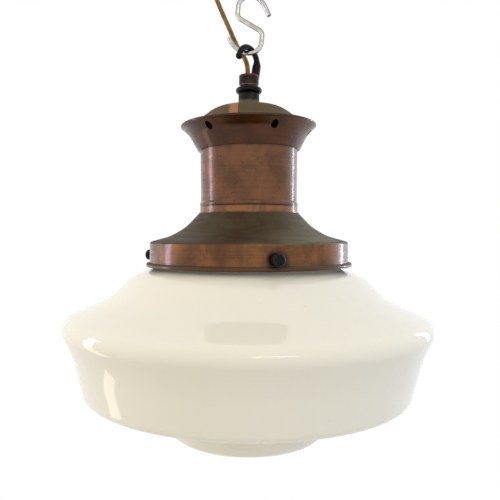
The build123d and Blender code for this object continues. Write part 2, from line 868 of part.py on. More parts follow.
flex_inner_foot_z = tube_foot_z - 3.0


def flex_inner():
    """The lead inside the bush and the tube."""
    return upright_cylinder(flex_r, flex_inner_foot_z, boss_top_z + bush_flange_h, flex_x, flex_y)


def flex_cores():
    """The two cores, from the sheath's end into the posts' cross holes."""
    cores = []
    for side in (-1, 1):
        hole_z = block_top_z + post_h * 0.45
        y = side * plunger_y
        points = [
            (flex_x, flex_y + side * 0.9, flex_inner_foot_z),
            (flex_x, flex_y + side * 0.9, flex_inner_foot_z - 2.0),
            (flex_x - 1.2, flex_y + side * 1.6, flex_inner_foot_z - 4.5),
            (-6.4, side * 4.6, hole_z + 4.4),
            (-6.4, y, hole_z + 0.9),
            (-4.2, y, hole_z),
            (0, y, hole_z),
        ]
        path = FilletPolyline(*points, radius=[r * 0.8 for r in corner_radii(points)])
        section = Plane(origin=path @ 0, z_dir=path % 0) * Circle(core_r)
        cores.append(sweep(section, path).solid())
    return Compound(children=cores)


def flex_end_cores():
    """The two bared cores at the far end, ready for a ceiling terminal."""
    end = Vector(*flex_points[-1])
    way = (end - Vector(*flex_points[-2])).normalized()
    plane = Plane(origin=end, z_dir=way)
    cores = []
    for side in (-1, 1):
        core = extrude(plane * Pos(side * (core_r + 0.15), 0) * Circle(core_r), 9)
        cores.append(core.solid())
    return Compound(children=cores)


def build():
    """Make every piece and return it under its name."""
    flex, flex_length = flex_tube(flex_points, flex_r)
    print("flex radii", [round(r, 1) for r in corner_radii(flex_points)])
    print("flex length", round(flex_length, 1), "volume ratio", flex.volume / (math.pi * flex_r**2 * flex_length))
    pieces = {
        "s_hook": s_hook(),
        "suspension_hook": suspension_hook(),
        "grub_screw": grub_screw(),
        "entry_bush": entry_bush(),
        "collar_locknut": collar_locknut(),
        "entry_boss": entry_boss(),
        "down_tube": down_tube(),
        "dome_washer": dome_washer(),
        "dome_nut": dome_nut(),
        "dome_cap": dome_cap(),
        "vent_collar": vent_collar(),
        "neck_tube": neck_tube(),
        "trumpet_gallery": trumpet_gallery(),
        "screw_bushes": screw_bushes(),
        "glass_shade": glass_shade(),
        "holder_barrel": holder_barrel(),
        "union_ring": union_ring(),
        "holder_cap": holder_cap(),
        "holder_nut": holder_nut(),
        "shade_ring": shade_ring(),
        "terminal_block": terminal_block(),
        "terminal_posts": terminal_posts(),
        "terminal_screws": terminal_screws(),
        "lamp_cap": lamp_cap(),
        "lamp_insulator": lamp_insulator(),
        "lamp_contacts": lamp_contacts(),
        "lamp_glass": lamp_glass(),
        "lamp_stem": lamp_stem(),
        "lamp_filament": lamp_filament(),
        "flex_cord": flex,
        "flex_inner": flex_inner(),
        "flex_cores": flex_cores(),
        "flex_end_cores": flex_end_cores(),
    }
    for k, turn in enumerate(screw_turns):
        pieces[f"thumbscrew_{k + 1}"] = thumbscrew(turn)
    for name, side in (("front", -1), ("back", 1)):
        pieces[f"contact_plunger_{name}"] = contact_plunger(side)
        pieces[f"plunger_spring_{name}"] = plunger_spring(side)
    return pieces


os.makedirs("parts", exist_ok=True)
for piece_name, piece in build().items():
    export_step(piece, f"parts/{piece_name}.step")
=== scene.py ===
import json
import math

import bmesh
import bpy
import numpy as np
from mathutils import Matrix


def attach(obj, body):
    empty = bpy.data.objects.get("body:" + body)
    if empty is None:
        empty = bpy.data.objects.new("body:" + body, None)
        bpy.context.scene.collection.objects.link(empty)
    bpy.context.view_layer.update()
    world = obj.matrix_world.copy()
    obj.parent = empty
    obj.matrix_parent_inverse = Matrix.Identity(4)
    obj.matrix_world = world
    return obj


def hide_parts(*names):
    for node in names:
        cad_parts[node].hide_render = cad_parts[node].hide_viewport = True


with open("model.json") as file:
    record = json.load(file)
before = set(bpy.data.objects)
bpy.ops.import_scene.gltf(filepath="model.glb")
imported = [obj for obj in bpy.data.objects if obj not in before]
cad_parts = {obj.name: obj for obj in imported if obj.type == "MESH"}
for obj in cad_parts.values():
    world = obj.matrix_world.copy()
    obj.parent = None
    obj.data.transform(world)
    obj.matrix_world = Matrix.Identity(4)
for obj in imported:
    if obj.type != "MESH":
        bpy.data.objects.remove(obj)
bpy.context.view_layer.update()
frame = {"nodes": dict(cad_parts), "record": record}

# %% [markdown]
# # An opal glass pendant light
#
# An old pendant light: a stepped shade of opal glass hangs on three black thumbscrews in a
# spun copper gallery. The gallery has a flared skirt, a straight neck and a vented cup with a
# domed lid. A black iron hook stands on top, hung on a galvanised S-hook, and a golden flex
# comes out beside it. The lampholder and lamp are hidden inside.
#
# The frame holds the exact solids. Here the visible pieces are made again as finer surfaces in
# the same place, with +Z up, +X to the right and -Y towards the viewer. Outlines are written in
# millimetres and become metres when a mesh is made. Places in a material are in metres.

MM = 0.001

# %% [markdown]
# ## Outlines
#
# Spun metal and blown glass are both shaped on a turning axis, so one outline describes each
# of them. An outline is a few corners, each with the radius that the tool or the mould left.
# The function below replaces every corner by its tangent arc. At a corner where the direction
# turns by the angle a, the arc of radius r begins r tan(a / 2) before the corner.

# %% Rounded outlines
def rounded(points, radii, step=0.7):
    """Points along straight runs and tangent arcs.

    The arc at a corner with turn a starts r tan(a / 2) before it and spans the angle a about
    the centre that lies at distance r along the inward normal.
    """
    pts = np.asarray(points, float)
    out = [pts[0]]
    for before, here, after, r in zip(pts, pts[1:], pts[2:], radii):
        d1 = (here - before) / np.linalg.norm(here - before)
        d2 = (after - here) / np.linalg.norm(after - here)
        turn = math.atan2(d1[0] * d2[1] - d1[1] * d2[0], float(d1 @ d2))
        side = 1.0 if turn > 0 else -1.0
        start = here - d1 * r * math.tan(abs(turn) / 2)
        normal = side * np.array([-d1[1], d1[0]])
        centre = start + normal * r
        n = max(4, int(abs(turn) * r / step) + 2)
        a = np.linspace(0, turn, n)[:, None]
        spoke = start - centre
        arc = centre + spoke * np.cos(a) + np.array([-spoke[1], spoke[0]]) * np.sin(a)
        out.extend(arc)
    out.append(pts[-1])
    return evened(np.array(out), step)


def evened(line, step):
    """The same line with long straight runs cut into pieces of about 3 steps."""
    out = [line[0]]
    for a, b in zip(line, line[1:]):
        length = np.linalg.norm(b - a)
        if length < 1e-6:
            continue
        n = max(1, int(round(length / (3 * step))))
        out.extend(a + (b - a) * np.linspace(0, 1, n + 1)[1:, None])
    return np.array(out)


def wall(line, thickness):
    """A closed section: the outer skin, then the same line moved in along its normals.

    With the direction (dr, dz) along the skin, the inner side is at (dz, -dr).
    """
    d = np.gradient(line, axis=0)
    d /= np.linalg.norm(d, axis=1)[:, None]
    inner = line + thickness * np.column_stack([d[:, 1], -d[:, 0]])
    inner[:, 0] = np.maximum(inner[:, 0], 0.0)
    if line[-1, 0] < 1e-6:
        inner[-1, 0] = 0.0
    return np.vstack([line, inner[::-1]])


# %% [markdown]
# ## Surfaces
#
# Each surface is a grid of two parameters, a place along a section and an angle or a distance,
# worked out as whole arrays. The grid's rows and columns then give the faces.

# %% Grid surfaces
def make_object(name, verts, quads, tris, material=None, body="lamp", sharp=35):
    """A mesh object from arrays of corners, four-sided faces and three-sided faces."""
    quads = np.asarray(quads, int).reshape(-1, 4)
    tris = np.asarray(tris, int).reshape(-1, 3)
    mesh = bpy.data.meshes.new(name)
    mesh.vertices.add(len(verts))
    mesh.vertices.foreach_set("co", np.asarray(verts, np.float32).ravel() * MM)
    loops = np.concatenate([quads.ravel(), tris.ravel()])
    mesh.loops.add(len(loops))
    mesh.loops.foreach_set("vertex_index", loops.astype(np.int32))
    sizes = np.concatenate([np.full(len(quads), 4), np.full(len(tris), 3)])
    starts = np.concatenate([[0], np.cumsum(sizes)[:-1]])
    mesh.polygons.add(len(sizes))
    mesh.polygons.foreach_set("loop_start", starts.astype(np.int32))
    mesh.polygons.foreach_set("use_smooth", np.full(len(sizes), True))
    mesh.update(calc_edges=True)
    mesh.validate()
    mesh.set_sharp_from_angle(angle=math.radians(sharp))
    obj = bpy.data.objects.new(name, mesh)
    bpy.context.scene.collection.objects.link(obj)
    if material:
        mesh.materials.append(material)
    if body:
        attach(obj, body)
    return obj


def grid_faces(rows, cols, wrap_rows):
    """The four-sided faces of a grid whose corner (i, j) has the number i * cols + j.

    The columns always close on themselves, and the rows do where wrap_rows is true.
    """
    i = np.arange(rows if wrap_rows else rows - 1)[:, None]
    j = np.arange(cols)[None, :]
    i2, j2 = (i + 1) % rows, (j + 1) % cols
    quads = np.stack([i * cols + j, i * cols + j2, i2 * cols + j2, i2 * cols + j], -1)
    return quads.reshape(-1, 4)


def lathe_arrays(section, segments=192, closed=True, wave=None):
    """Spin a section (r, z): x = r cos a, y = r sin a. Corners on the axis become one point."""
    section = np.asarray(section, float)
    a = np.linspace(0, 2 * math.pi, segments, endpoint=False)
    r = np.repeat(section[:, :1], segments, 1)
    z = np.repeat(section[:, 1:], segments, 1)
    if wave is not None:
        r, z = wave(r, z, a[None, :])
    verts = np.stack([r * np.cos(a), r * np.sin(a), z], -1).reshape(-1, 3)
    quads = grid_faces(len(section), segments, closed)
    poles = np.where(section[:, 0] < 1e-6)[0]
    first = np.arange(len(verts))
    for p in poles:
        first[p * segments:(p + 1) * segments] = p * segments
    quads = first[quads]
    same = (quads[:, 0] == quads[:, 1]) | (quads[:, 2] == quads[:, 3])
    both = (quads[:, 0] == quads[:, 1]) & (quads[:, 2] == quads[:, 3])
    folded = quads[same & ~both]
    top = folded[:, 0] == folded[:, 1]
    tris = np.where(top[:, None], folded[:, [0, 2, 3]], folded[:, [0, 1, 2]])
    return verts, quads[~same], tris


def joined(*arrays):
    """Several (corners, quads, tris) put together as one."""
    verts, quads, tris, n = [], [], [], 0
    for v, q, t in arrays:
        verts.append(v)
        quads.append(np.asarray(q, int).reshape(-1, 4) + n)
        tris.append(np.asarray(t, int).reshape(-1, 3) + n)
        n += len(v)
    return np.vstack(verts), np.vstack(quads), np.vstack(tris)


def circle_section(radius, centre):
    """A round wire's section at (r, z), with 24 corners."""
    a = np.linspace(0, 2 * math.pi, 24, endpoint=False)
    return np.column_stack([centre[0] + radius * np.cos(a), centre[1] + radius * np.sin(a)])


def outward(obj):
    """Turn every face so that it looks out of its closed piece."""
    bm = bmesh.new()
    bm.from_mesh(obj.data)
    bmesh.ops.recalc_face_normals(bm, faces=bm.faces)
    bm.to_mesh(obj.data)
    bm.free()
    return obj


def spun(name, sections, material, body="lamp", segments=192, wave=None, sharp=35, place=None):
    """One object from closed sections spun about the axis, or about a moved one."""
    arrays = joined(*[lathe_arrays(s, segments, True, wave) for s in sections])
    verts = arrays[0] if place is None else place(arrays[0])
    return outward(make_object(name, verts, arrays[1], arrays[2], material, body, sharp=sharp))


# %% Bent rods
def turtle(moves, heading, step):
    """A plane line from straight moves ("go", length) and arcs ("turn", radius, degrees)."""
    p, h = np.zeros(2), math.radians(heading)
    out = [p]
    for move in moves:
        if move[0] == "go":
            n = max(2, int(move[1] / step))
            ends = p + np.outer(np.linspace(0, move[1], n + 1)[1:], [math.cos(h), math.sin(h)])
        else:
            r, turn = move[1], math.radians(move[2])
            side = 1 if turn > 0 else -1
            centre = p + side * r * np.array([-math.sin(h), math.cos(h)])
            n = max(4, int(abs(turn) * r / step))
            a = h - side * math.pi / 2 + np.linspace(0, turn, n + 1)[1:]
            ends = centre + r * np.column_stack([np.cos(a), np.sin(a)])
            h += turn
        out.extend(ends)
        p = out[-1]
    return np.array(out)


def end_fans(first, around, last):
    """Triangles that close both ends of a rod, with their middles numbered first and first + 1."""
    j = np.arange(around)
    j2 = (j + 1) % around
    return np.vstack([np.column_stack([np.full(around, first), j2, j]),
                      np.column_stack([np.full(around, first + 1), last + j, last + j2])])


def tube_arrays(path, radius, around):
    """A round rod along a line: p + r (cos b n1 + sin b n2), with frames carried along it."""
    path = np.asarray(path, float)
    r = np.broadcast_to(radius, (len(path),)).astype(float)
    t = np.gradient(path, axis=0)
    t /= np.linalg.norm(t, axis=1)[:, None]
    n1 = np.zeros_like(t)
    seed = np.array([0.0, 0.0, 1.0]) if abs(t[0, 2]) < 0.9 else np.array([1.0, 0.0, 0.0])
    n1[0] = np.cross(t[0], seed)
    n1[0] /= np.linalg.norm(n1[0])
    for k in range(1, len(path)):
        v = n1[k - 1] - t[k] * (n1[k - 1] @ t[k])
        n1[k] = v / np.linalg.norm(v)
    n2 = np.cross(t, n1)
    b = np.linspace(0, 2 * math.pi, around, endpoint=False)
    ringed = n1[:, None] * np.cos(b)[None, :, None] + n2[:, None] * np.sin(b)[None, :, None]
    verts = (path[:, None] + ringed * r[:, None, None]).reshape(-1, 3)
    quads = grid_faces(len(path), around, False)
    tris = end_fans(len(verts), around, (len(path) - 1) * around)
    return np.vstack([verts, path[0], path[-1]]), quads, tris


# %% [markdown]
# ## Colours and node helpers
#
# Colours are written as sRGB values and changed to linear light once, here. One helper adds a
# node with its settings and links, so a material reads as a list of what is layered on what.

# %% Node helpers
def linear(hexa):
    """An sRGB colour such as "8a5a3c" in linear light, with full cover."""
    c = np.array([int(hexa[k:k + 2], 16) for k in (0, 2, 4)]) / 255
    c = np.where(c <= 0.04045, c / 12.92, ((c + 0.055) / 1.055) ** 2.4)
    return (*c, 1.0)


class Finish:
    """A material that is built node by node."""

    def __init__(self, name, **settings):
        self.material = bpy.data.materials.new(name)
        self.material.use_nodes = True
        self.tree = self.material.node_tree
        self.tree.nodes.clear()
        self.out = self.tree.nodes.new("ShaderNodeOutputMaterial")
        self.shader = self.node("ShaderNodeBsdfPrincipled", settings)
        self.tree.links.new(self.shader.outputs[0], self.out.inputs["Surface"])
        coords = self.node("ShaderNodeTexCoord")
        self.place = coords.outputs["Object"]
        self.parts = self.node("ShaderNodeSeparateXYZ", {0: self.place}).outputs

    def node(self, kind, inputs=None, **props):
        """Add a node, set its properties, and set or link its inputs."""
        n = self.tree.nodes.new(kind)
        for key, value in props.items():
            setattr(n, key, value)
        for key, value in (inputs or {}).items():
            self.put(n.inputs[key], value)
        return n

    def put(self, socket, value):
        """Link a socket to another node's output, or set its value."""
        if isinstance(value, bpy.types.NodeSocket):
            self.tree.links.new(value, socket)
        else:
            socket.default_value = value

    def set(self, **inputs):
        """Set or link the shader's own inputs, with underscores for spaces."""
        for key, value in inputs.items():
            self.put(self.shader.inputs[key.replace("_", " ")], value)
        return self

    def scaled(self, x, y=None, z=None):
        """The place in the object, multiplied along each axis."""
        y, z = (x if y is None else y), (x if z is None else z)
        return self.node("ShaderNodeMapping", {"Vector": self.place, "Scale": (x, y, z)}).outputs[0]

    def noise(self, vector, scale=1.0, detail=4.0, rough=0.55, distort=0.0):
        """Soft noise from 0 to 1 with features of about 1 / scale metres."""
        n = self.node("ShaderNodeTexNoise", {"Vector": vector, "Scale": scale, "Detail": detail,
                                             "Roughness": rough, "Distortion": distort})
        return n.outputs["Fac"]

    def ramp(self, value, low, high, to_low=0.0, to_high=1.0):
        """The value stretched from low..high to to_low..to_high, and held outside."""
        n = self.node("ShaderNodeMapRange", {"Value": value, "From Min": low, "From Max": high,
                                             "To Min": to_low, "To Max": to_high})
        n.interpolation_type = "SMOOTHSTEP"
        return n.outputs[0]

    def math(self, operation, a, b=0.0):
        """Two numbers combined."""
        return self.node("ShaderNodeMath", {0: a, 1: b}, operation=operation).outputs[0]

    def mix(self, a, b, by):
        """Colour a turned into colour b by a factor."""
        n = self.node("ShaderNodeMix", data_type="RGBA")
        self.put(n.inputs[0], by)
        self.put(n.inputs[6], a)
        self.put(n.inputs[7], b)
        return n.outputs[2]

    def bump(self, height, distance, strength=1.0, normal=None):
        """A normal from a height map whose full range is the distance in metres."""
        inputs = {"Height": height, "Distance": distance, "Strength": strength}
        if normal is not None:
            inputs["Normal"] = normal
        return self.node("ShaderNodeBump", inputs).outputs[0]

    def facing_up(self):
        """How far the surface looks upwards, from -1 to 1."""
        normal = self.node("ShaderNodeNewGeometry").outputs["Normal"]
        return self.node("ShaderNodeSeparateXYZ", {0: normal}).outputs[2]

    def near(self, point, full, none):
        """How near the surface is to a point: 1 within one distance, 0 beyond another."""
        gap = self.node("ShaderNodeVectorMath", {0: self.place, 1: point}, operation="DISTANCE")
        return self.ramp(gap.outputs["Value"], full, none, 1.0, 0.0)


# %% [markdown]
# ## Aged copper
#
# Bare copper turns from salmon to brown as it oxidises, darkest where hands don't rub it. The
# spinning tool leaves fine rings round the axis, which stretch every highlight into a
# streak. Dust settles and sticks on the slopes that look up, so those are olive and dull,
# while the upright faces keep a soft shine. A few specks of green copper salts grow on it, and
# a thin clear skin of old lacquer and grease adds a faint shine, drawn as a weak coat.
#
# The pattern sizes are real ones: rings 0.5 mm apart, stains 10 to 20 mm, specks 1 to 2 mm.

# %% Copper
COPPER_METALLIC = 0.96
COPPER_COAT = 0.4


def aged_copper(name, bright, oxide, dark, oxide_cover=0.5, shine=0.34, ring_depth=1.0):
    """Copper with turning rings, brown oxide stains and green specks."""
    f = Finish(name, Metallic=COPPER_METALLIC, **{"Coat Weight": COPPER_COAT, "Coat Roughness": 0.12})
    stains = f.noise(f.scaled(1.0), 55, 6, 0.62, 0.4)
    rings = f.noise(f.scaled(9, 9, 1700), 1.0, 2, 0.5)
    scratches = f.noise(f.scaled(30, 30, 700), 1.0, 3, 0.6)
    cover = f.math("ADD", stains, f.math("MULTIPLY", f.math("SUBTRACT", rings, 0.5), 0.35))
    cover = f.ramp(cover, 0.62 - oxide_cover * 0.5, 0.92 - oxide_cover * 0.5)
    colour = f.mix(linear(bright), linear(oxide), cover)
    spots = f.ramp(f.noise(f.scaled(1.0), 210, 4, 0.6, 0.2), 0.6, 0.72)
    colour = f.mix(colour, linear(dark), f.math("MULTIPLY", spots, 0.6))
    specks = f.ramp(f.noise(f.scaled(1.0), 330, 1, 0.4), 0.785, 0.82)
    colour = f.mix(colour, linear("465a48"), specks)
    rough = f.ramp(scratches, 0.3, 0.7, shine - 0.05, shine + 0.09)
    rough = f.math("ADD", rough, f.math("MULTIPLY", cover, 0.08))
    ringed = f.bump(rings, 0.00002 * ring_depth, 0.6)
    normal = f.bump(stains, 0.0004, 0.22, ringed)
    f.set(Base_Color=colour, Roughness=rough, Normal=normal)
    f.colour, f.rough, f.stains = colour, rough, stains
    return f


def dusted(f, dust, low, high, most=0.93):
    """Dust on the slopes that look up: a dull, rough, barely metallic layer. Returns its cover."""
    ragged = f.math("MULTIPLY", f.math("SUBTRACT", f.stains, 0.5), 0.25)
    film = f.ramp(f.math("ADD", f.facing_up(), ragged), low, high, 0.0, most)
    tint = f.mix(linear(dust[0]), linear(dust[1]), f.ramp(f.stains, 0.35, 0.65))
    f.colour = f.mix(f.colour, tint, film)
    f.set(Base_Color=f.colour, Roughness=f.math("ADD", f.rough, f.math("MULTIPLY", film, 0.3)),
          Metallic=f.ramp(film, 0.0, 1.0, COPPER_METALLIC, 0.45),
          Coat_Weight=f.ramp(film, 0.0, 1.0, COPPER_COAT, 0.0))
    return film


def neck_finish():
    """The neck's copper: a warmer band at its foot, with a dark line along the band's upper edge."""
    f = aged_copper("aged copper neck", "70482e", "583a23", "372115", 0.55, 0.3)
    height, edge = f.parts[2], -0.1783
    band = f.ramp(height, edge - 0.0003, edge + 0.0002, 1.0, 0.0)
    band_tone = f.mix(linear("8a5a34"), linear("6b4a34"), f.ramp(f.stains, 0.4, 0.62))
    # A thin dark line along the band's upper edge, just under the bead.
    dark_line = f.math("MULTIPLY", f.ramp(height, edge - 0.0013, edge),
                   f.ramp(height, edge, edge + 0.0011, 1.0, 0.0))
    tone = f.mix(f.colour, band_tone, band)
    f.set(Base_Color=f.mix(tone, linear("1d100a"), dark_line))
    return f.material


def cup_finish():
    """The cup's copper: the darkest, with dust on what little of it looks up."""
    f = aged_copper("aged copper cup", "4e2b12", "40230e", "251208", 0.6, 0.34)
    dusted(f, ("46341e", "4e3e2a"), 0.5, 0.9)
    return f.material


def dome_finish():
    """The dome's copper: dusty all over, with a painted reflection in front, left of the boss: a bright
    copper patch.
    """
    f = aged_copper("aged copper dome", "664830", "503c28", "362818", 0.5, 0.42)
    dusted(f, ("544426", "5e4e36"), 0.1, 0.4, 0.95)
    x, y = f.parts[0], f.parts[1]
    # Painted reflection: a bright copper patch in front, left of the boss, sharp on its right edge and
    # fading on its left.
    painted_reflection_patch = f.math("MULTIPLY", f.ramp(x, -0.0175, -0.0135), f.ramp(x, -0.0092, -0.0082, 1.0, 0.0))
    painted_reflection_patch = f.math("MULTIPLY", painted_reflection_patch, f.ramp(y, -0.004, -0.001, 1.0, 0.0))
    f.set(Base_Color=f.mix(f.colour, linear("a4714a"), painted_reflection_patch))
    return f.material


def gallery_finish():
    """The gallery's copper: a dusty slope with painted light on its right past a slanting shadow edge,
    drips, one dark stain, a dull roll.
    """
    f = aged_copper("aged copper gallery", "7a4e2a", "5e3a1e", "3a2210", 0.52, 0.3, 1.6)
    film = dusted(f, ("3f301b", "4c402a"), 0.12, 0.45, 0.96)
    x, height = f.parts[0], f.parts[2]
    # Painted light and shade: the dust stays darker on the left and is made paler right of a slanting line,
    # a soft shadow edge painted in.
    slant = f.math("MULTIPLY", f.math("ADD", height, 0.2075), 1.1)
    painted_light_right = f.math("MULTIPLY", film, f.ramp(f.math("SUBTRACT", x, slant), -0.012, 0.045))
    tone = f.mix(f.colour, linear("6e6753"), f.math("MULTIPLY", painted_light_right, 0.75))
    drips = f.ramp(f.noise(f.scaled(1.0, 1.0, 0.35), 75, 3, 0.6, 0.3), 0.5, 0.62)
    tone = f.mix(tone, linear("3a1e0e"), f.math("MULTIPLY", drips, 0.35))
    front_screw = (0.0212, -0.081, -0.2225)
    stain = f.near(front_screw, 0.0055, 0.0125)
    tone = f.mix(tone, linear("17120f"), f.math("MULTIPLY", stain, 0.85))
    roll = f.ramp(height, -0.2262, -0.2256, 1.0, 0.0)
    f.set(Base_Color=f.mix(tone, linear("4a3320"), f.math("MULTIPLY", roll, 0.8)))
    return f.material


neck_copper = neck_finish()
cup_copper = cup_finish()
dome_copper = dome_finish()
gallery_copper = gallery_finish()
print("copper finishes made")

# %% [markdown]
# ## Opal glass, iron, wire and flex
#
# Opal glass is white all through: light enters, scatters and comes out again, under a surface
# as smooth as a window. So it gets scattering under a very smooth dielectric, and a slow wave
# in the surface from the blowing. Cast iron is dark with a dull sheen and a grain of about
# half a millimetre. Hot-dip zinc is bright grey with soft patches. The wire gets a painted
# reflection: its colour is made darker where its surface turns away, standing in for the dim
# sides of a room mirrored there.

# %% Other finishes
def opal_glass():
    """White scattering glass with a smooth skin that waves a little."""
    f = Finish("opal glass", Roughness=0.055, IOR=1.52)
    drift = f.noise(f.scaled(1.0), 9, 2, 0.5)
    tint = f.mix(linear("f4ede0"), linear("f1ebe4"), drift)
    seed = f.ramp(f.noise(f.scaled(1.0), 420, 1, 0.3), 0.80, 0.83)
    tint = f.mix(tint, linear("cfc4b2"), f.math("MULTIPLY", seed, 0.4))
    wave = f.noise(f.scaled(1.0, 1.0, 1.6), 24, 1, 0.4, 0.3)
    f.set(Base_Color=tint, Normal=f.bump(wave, 0.0012, 0.35))
    f.set(Subsurface_Weight=0.35, Subsurface_Radius=(1.0, 0.85, 0.7), Subsurface_Scale=0.006)
    return f.material


def cast_iron(name, base, worn, grain=0.5, rough=0.42):
    """Blackened iron with a fine grain and a browner worn tone in soft patches."""
    f = Finish(name, Metallic=0.75)
    grains = f.noise(f.scaled(1.0), 0.6 / (grain * MM), 3, 0.6)
    patches = f.noise(f.scaled(1.0), 140, 3, 0.6)
    colour = f.mix(linear(base), linear(worn), f.ramp(patches, 0.48, 0.7))
    f.set(Base_Color=colour, Roughness=f.ramp(grains, 0.3, 0.7, rough - 0.08, rough + 0.14),
          Normal=f.bump(grains, 0.00012, 0.5))
    f.colour = colour
    return f


def zinc_wire():
    """Galvanised wire: bright grey zinc with soft patches, and a painted reflection that darkens it towards
    its edges.
    """
    f = Finish("galvanised wire", Metallic=1.0)
    patches = f.noise(f.scaled(1.0), 260, 3, 0.55)
    colour = f.mix(linear("cfcdc4"), linear("b3b1a9"), f.ramp(patches, 0.42, 0.68))
    # Painted reflection: the colour darkens where the surface turns away from the view, for the dim room it
    # would mirror.
    edge = f.node("ShaderNodeLayerWeight", {"Blend": 0.5}).outputs["Facing"]
    f.set(Base_Color=f.mix(colour, linear("3e3c38"), f.ramp(edge, 0.12, 0.75)),
          Roughness=f.ramp(patches, 0.3, 0.7, 0.2, 0.34),
          Normal=f.bump(f.noise(f.scaled(1.0), 300, 2, 0.5), 0.00003, 0.15))
    return f.material


def flex_sheath():
    """A golden sheath with a soft shine and a finely uneven skin."""
    f = Finish("golden flex sheath", Roughness=0.34, IOR=1.5, **{"Specular IOR Level": 0.25})
    tone = f.noise(f.scaled(1.0), 180, 3, 0.5)
    f.set(Base_Color=f.mix(linear("8f6a2a"), linear("6e4e18"), f.ramp(tone, 0.4, 0.62)),
          Normal=f.bump(f.noise(f.scaled(1.0), 1500, 2, 0.5), 0.00004, 0.4))
    return f.material


def plain_finish(name, a, b, metallic, rough, scale=200, **more):
    """A small hidden piece's finish: two close tones in soft patches."""
    f = Finish(name, Metallic=metallic, **more)
    tone = f.noise(f.scaled(1.0), scale, 3, 0.5)
    f.set(Base_Color=f.mix(linear(a), linear(b), tone),
          Roughness=f.ramp(tone, 0.3, 0.7, rough - 0.04, rough + 0.06))
    return f.material


opal = opal_glass()
wire_zinc = zinc_wire()
sheath = flex_sheath()
hook_iron = cast_iron("black cast iron", "15120f", "2a221b")
collar_iron = cast_iron("black locknut iron", "100e0d", "1d1a18", rough=0.36)
screw_black = cast_iron("blackened screw steel", "0f0f10", "1c1b1b", 0.3, 0.34)
bush_black = cast_iron("blackened bush steel", "17120f", "2c1f18", 0.4, 0.45)
holder_brass = plain_finish("holder brass", "b8904e", "9c7840", 1.0, 0.3)
nut_steel = plain_finish("dark nut steel", "5a5652", "47433f", 1.0, 0.4)
spring_steel = plain_finish("spring steel", "a8a8a8", "8c8c8c", 1.0, 0.3)
porcelain = plain_finish("white porcelain", "ece8de", "e2dccf", 0.0, 0.2)
bulb_glass = plain_finish("clear bulb glass", "fbfdfd", "f6fafa", 0.0, 0.04, 40,
                          **{"Transmission Weight": 1.0, "IOR": 1.5})
insulator = plain_finish("black glass insulator", "121212", "1c1c1c", 0.0, 0.2)
solder = plain_finish("grey solder", "b4b4b0", "98989a", 1.0, 0.38)
tungsten = plain_finish("tungsten wire", "6a6a6c", "58585a", 1.0, 0.4)
core_sheath = plain_finish("brown core sheath", "5a3322", "452618", 0.0, 0.45)
bare_copper = plain_finish("bare copper core", "d08a60", "b8734c", 1.0, 0.32)
bush_plastic = plain_finish("dark bush fibre", "33251a", "241a12", 0.0, 0.5)

# %% [markdown]
# ## The opal shade
#
# Such a shade is blown into an iron mould and turned while it is soft, so it has no seam. The
# outline goes from the neck over a round shoulder and a hollow slope to the wide ridge, then
# in under the ridge down the side, round the base and across the nearly flat underside to the
# small boss. The wall is about 3 mm. The surface is out of true by a few tenths of a
# millimetre, which makes reflections wander.

# %% Shade
LIP_FOOT = -217.991
BOTTOM = LIP_FOOT - 157.1
GLASS_WALL = 3.2
BOSS_R = 67.0
SHADE_LEAN = 0.6
SHADE_POINTS = [
    (76.5, LIP_FOOT + 6.0), (76.5, LIP_FOOT - 11.8), (98.7, LIP_FOOT - 19.4), (116.4, LIP_FOOT - 38.6),
    (156.3, LIP_FOOT - 55.3), (144.5, LIP_FOOT - 79.8), (135.6, LIP_FOOT - 115.4),
    (68.5, LIP_FOOT - 130.1), (BOSS_R, LIP_FOOT - 152.1), (BOSS_R / 3, BOTTOM), (0, BOTTOM),
]
SHADE_RADII = [6, 45, 56, 10.4, 105, 8.3, 5, 12, 60]


def blown(r, z, a):
    """Slow waves in the radius: a sum of three cosines of the angle and the height."""
    w = np.cos(3 * a + z * 0.03) + 0.7 * np.cos(5 * a - z * 0.05 + 1.0) + 0.5 * np.cos(2 * a + 2.0)
    return r - 0.12 * (w + 2.2) / 2.2 * np.clip(r / 60, 0, 1), z


shade_skin = rounded(SHADE_POINTS, SHADE_RADII, 0.9)
LIP_IN, LIP_OUT = 76.0, 79.6
LIP_LOW, LIP_HIGH = LIP_FOOT + 0.9, LIP_FOOT + 5.99
LIP_CORNERS = [(LIP_IN, LIP_LOW), (LIP_OUT, LIP_LOW), (LIP_OUT, LIP_HIGH), (LIP_IN, LIP_HIGH)]
lip = rounded(LIP_CORNERS, [1.2, 1.2], 0.3)


def leaning(degrees, level, narrower=1.0, shorter=1.0):
    """A move that makes a piece a little narrower and shorter, then turns it about the Y axis.

    The turn t is about the height z0 = level. With h = z - z0, a point goes to
    x' = x cos t + h sin t and z' = z0 - x sin t + h cos t.
    """
    t = math.radians(degrees)

    def move(v):
        x, h = v[:, 0] * narrower, (v[:, 2] - level) * shorter
        return np.column_stack([x * math.cos(t) + h * math.sin(t), v[:, 1] * narrower,
                                level - x * math.sin(t) + h * math.cos(t)])
    return move


shade = spun("opal_shade", [wall(shade_skin, GLASS_WALL), lip], opal, segments=320, wave=blown, sharp=50,
             place=leaning(SHADE_LEAN, LIP_FOOT, 0.996, 0.998))
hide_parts("glass_shade")
print("shade corners", len(shade.data.vertices))

# %% [markdown]
# ## The spun copper pieces
#
# A disc of copper sheet is pressed against a turning wooden form until it takes the form's
# outline. The dome and the trumpet are one disc each. The rim of the cup is rolled round a wire,
# the foot of the skirt is rolled into a hollow bead, and a single bead is pressed into the neck.
# Small dents are a few tenths of a millimetre deep.

